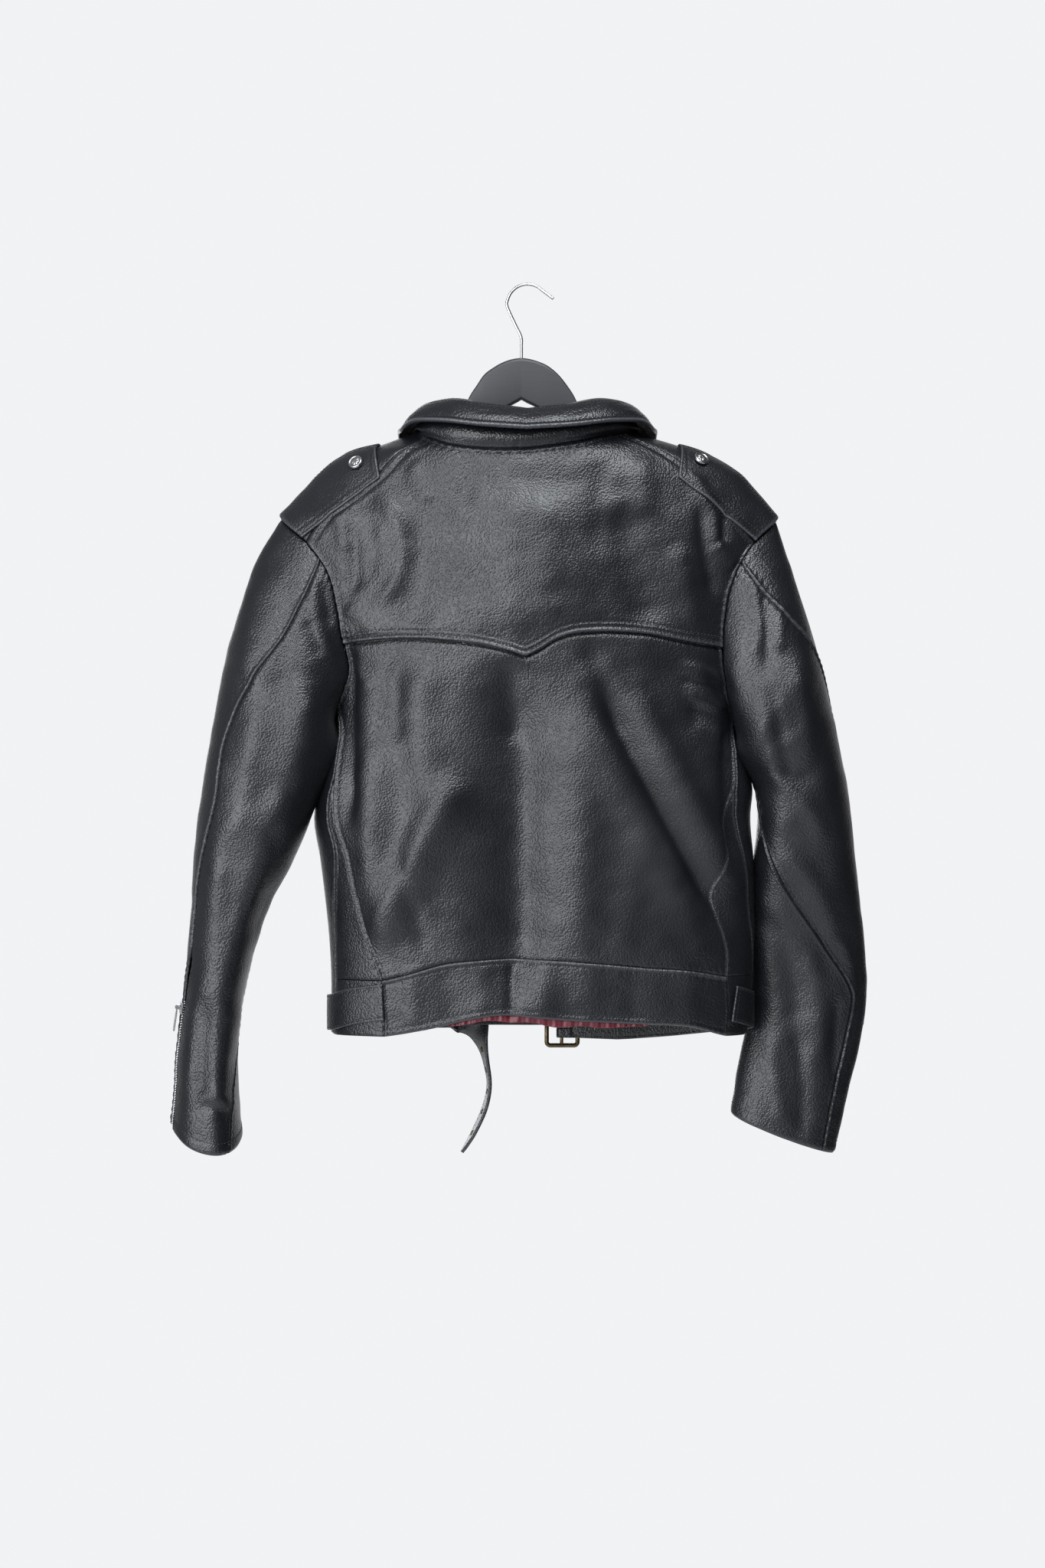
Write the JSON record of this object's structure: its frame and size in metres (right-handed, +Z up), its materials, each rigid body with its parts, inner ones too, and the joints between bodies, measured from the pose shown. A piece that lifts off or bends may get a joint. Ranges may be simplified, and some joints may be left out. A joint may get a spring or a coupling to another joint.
{
  "type": "leather biker jacket on a wooden hanger",
  "caption": "Black leather biker jacket with epaulettes, turned-down collar and waist belts, hanging on a flat wooden hanger with a wire hook.",
  "frame": {"origin": "underside of the hanger hook's crown, where a rail or wall hook holds it", "axes": "+Z up, the jacket's back faces -Y and its front +Y, its left sleeve points to -X"},
  "size_m": [0.6824, 0.167, 0.858],
  "materials": {
    "leather": "black semi-gloss pebbled cowhide",
    "lining": "dark red satin",
    "nickel": "dull nickel plate",
    "antique_brass": "aged brass",
    "black_wood": "black satin lacquer",
    "hook_wire": "bright zinc-plated steel wire"
  },
  "bodies": {
    "root": {"back_yoke": "leather", "back_lower": "leather", "waistband_back": "leather", "side_panel_left": "leather", "side_panel_right": "leather", "side_band_left": "leather", "side_band_right": "leather", "front_left": "leather", "front_right": "leather", "lapel_left": "leather", "lapel_right": "leather", "lining_back": "lining", "sleeve_under_left": "leather", "sleeve_under_right": "leather", "sleeve_upper_left": "leather", "sleeve_upper_right": "leather", "collar_stand": "leather", "collar_fall": "leather", "epaulette_left": "leather", "epaulette_right": "leather", "epaulette_snap_left": "nickel", "epaulette_snap_right": "nickel", "belt_left": "leather", "belt_right": "leather", "buckle_frame": "antique_brass", "main_zip": "nickel", "main_zip_slider": "nickel", "cuff_zip_left": "nickel", "cuff_zip_right": "nickel", "cuff_zip_slider_left": "nickel", "cuff_zip_slider_right": "nickel", "hanger_wood": "black_wood", "hanger_hook": "hook_wire"},
    "main_pull": {"main_zip_pull": "nickel"},
    "cuff_pull_left": {"cuff_zip_pull_left": "nickel"},
    "cuff_pull_right": {"cuff_zip_pull_right": "nickel"},
    "prong": {"buckle_prong": "antique_brass"}
  },
  "joints": [
    {"name": "main_pull_hinge", "type": "hinge", "parent": "root", "child": "main_pull", "pos_m": [0.03883, 0.05687, -0.41392], "axis": [0.9941, -0.0396, -0.1013], "range_deg": [0, 150]},
    {"name": "cuff_pull_left_hinge", "type": "hinge", "parent": "root", "child": "cuff_pull_left", "pos_m": [-0.34119, -0.02403, -0.70519], "axis": [-0.1889, 0.9606, 0.2039], "range_deg": [0, 150]},
    {"name": "cuff_pull_right_hinge", "type": "hinge", "parent": "root", "child": "cuff_pull_right", "pos_m": [0.3317, 0.0387, -0.70338], "axis": [0.7089, -0.7016, -0.0721], "range_deg": [0, 150]},
    {"name": "prong_hinge", "type": "hinge", "parent": "root", "child": "prong", "pos_m": [0.034, 0.06, -0.726], "axis": [0, 0, -1], "range_deg": [0, 110]}
  ]
}
